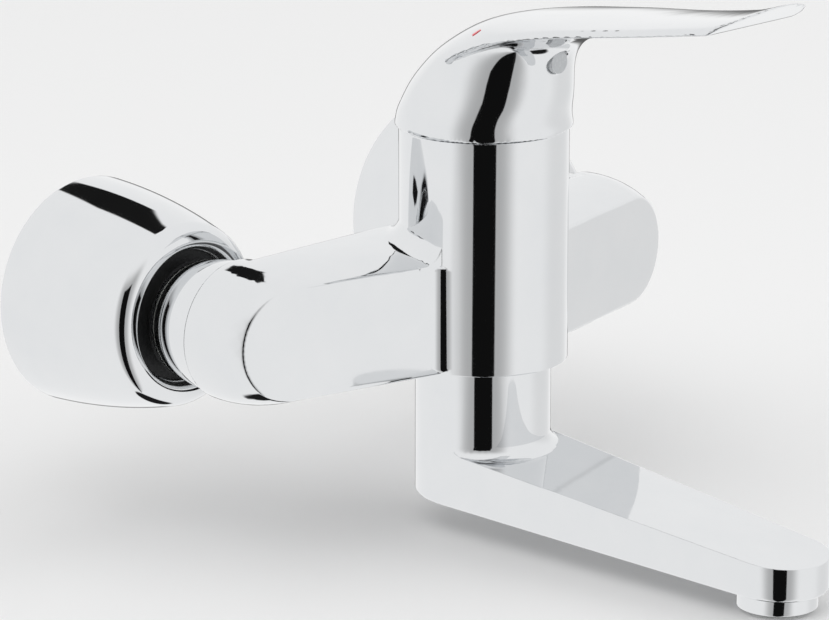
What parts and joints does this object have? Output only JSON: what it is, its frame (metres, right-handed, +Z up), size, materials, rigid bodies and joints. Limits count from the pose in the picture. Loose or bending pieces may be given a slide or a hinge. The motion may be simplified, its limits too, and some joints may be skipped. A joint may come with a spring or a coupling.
{
  "type": "elbow lever tap",
  "caption": "Wall-mounted single lever mixer with a long elbow lever, round barrel on a cross bar, bell-shaped wall covers and a low swivel spout.",
  "frame": {"origin": "midway between the two wall threads, on the finished wall", "axes": "+X along the wall to the right as seen by the user, +Y into the wall, +Z up; the spout and lever point along -Y"},
  "size_m": [0.2198, 0.2462, 0.1768],
  "materials": {
    "chrome": "polished chrome plate",
    "brass": "turned brass",
    "plated_brass": "satin chromed brass",
    "steel": "stainless steel",
    "grey_plastic": "moulded acetal",
    "black_plastic": "moulded nylon",
    "white_plastic": "moulded acetal",
    "grey_gloss": "glossy cap",
    "red_enamel": "red inlay",
    "ceramic": "ground alumina ceramic",
    "rubber": "nitrile rubber"
  },
  "bodies": {
    "tap": {"rosette_left": "chrome", "rosette_ring_left": "black_plastic", "s_union_left": "plated_brass", "union_nut_left": "chrome", "inlet_nipple_left": "plated_brass", "sieve_washer_left": "rubber", "check_valve_left": "white_plastic", "rosette_right": "chrome", "rosette_ring_right": "black_plastic", "s_union_right": "plated_brass", "union_nut_right": "chrome", "inlet_nipple_right": "plated_brass", "sieve_washer_right": "rubber", "check_valve_right": "white_plastic", "mixer_body": "chrome", "cartridge_base": "grey_plastic", "base_seals": "rubber", "fixed_disc": "ceramic", "cartridge_housing": "grey_plastic", "limiter_ring": "red_enamel", "cartridge_nut": "brass", "dome_cap": "chrome", "swivel_nipple": "brass", "nipple_o_rings": "rubber", "glide_rings": "white_plastic"},
    "rotor": {"cartridge_rotor": "white_plastic", "spindle_pin": "steel"},
    "lever": {"cartridge_spindle": "plated_brass", "lever": "chrome", "lever_screw": "steel", "screw_cap": "grey_gloss", "temperature_mark": "red_enamel"},
    "slide": {"disc_carrier": "grey_plastic", "moving_disc": "ceramic"},
    "spout": {"spout": "chrome", "spout_screw": "steel", "aerator_housing": "chrome", "aerator_insert": "white_plastic", "aerator_gasket": "rubber"}
  },
  "joints": [
    {"name": "lever_turn", "type": "hinge", "parent": "tap", "child": "rotor", "pos_m": [0, -0.0958, 0.0524], "axis": [0, 0, 1], "range_deg": [-50, 50]},
    {"name": "lever_lift", "type": "hinge", "parent": "rotor", "child": "lever", "pos_m": [0, -0.0958, 0.0524], "axis": [-1, 0, 0], "range_deg": [0, 20]},
    {"name": "disc_shift", "type": "slide", "parent": "rotor", "child": "slide", "axis": [0, -1, 0], "range_m": [0, 0.0033]},
    {"name": "spout_swing", "type": "hinge", "parent": "tap", "child": "spout", "pos_m": [0, -0.0958, -0.0295], "axis": [0, 0, 1], "range_deg": [-125, 125]}
  ],
  "couplings": [
    {"joint": "disc_shift", "follows": "lever_lift", "m_per_rad": 0.0094}
  ]
}
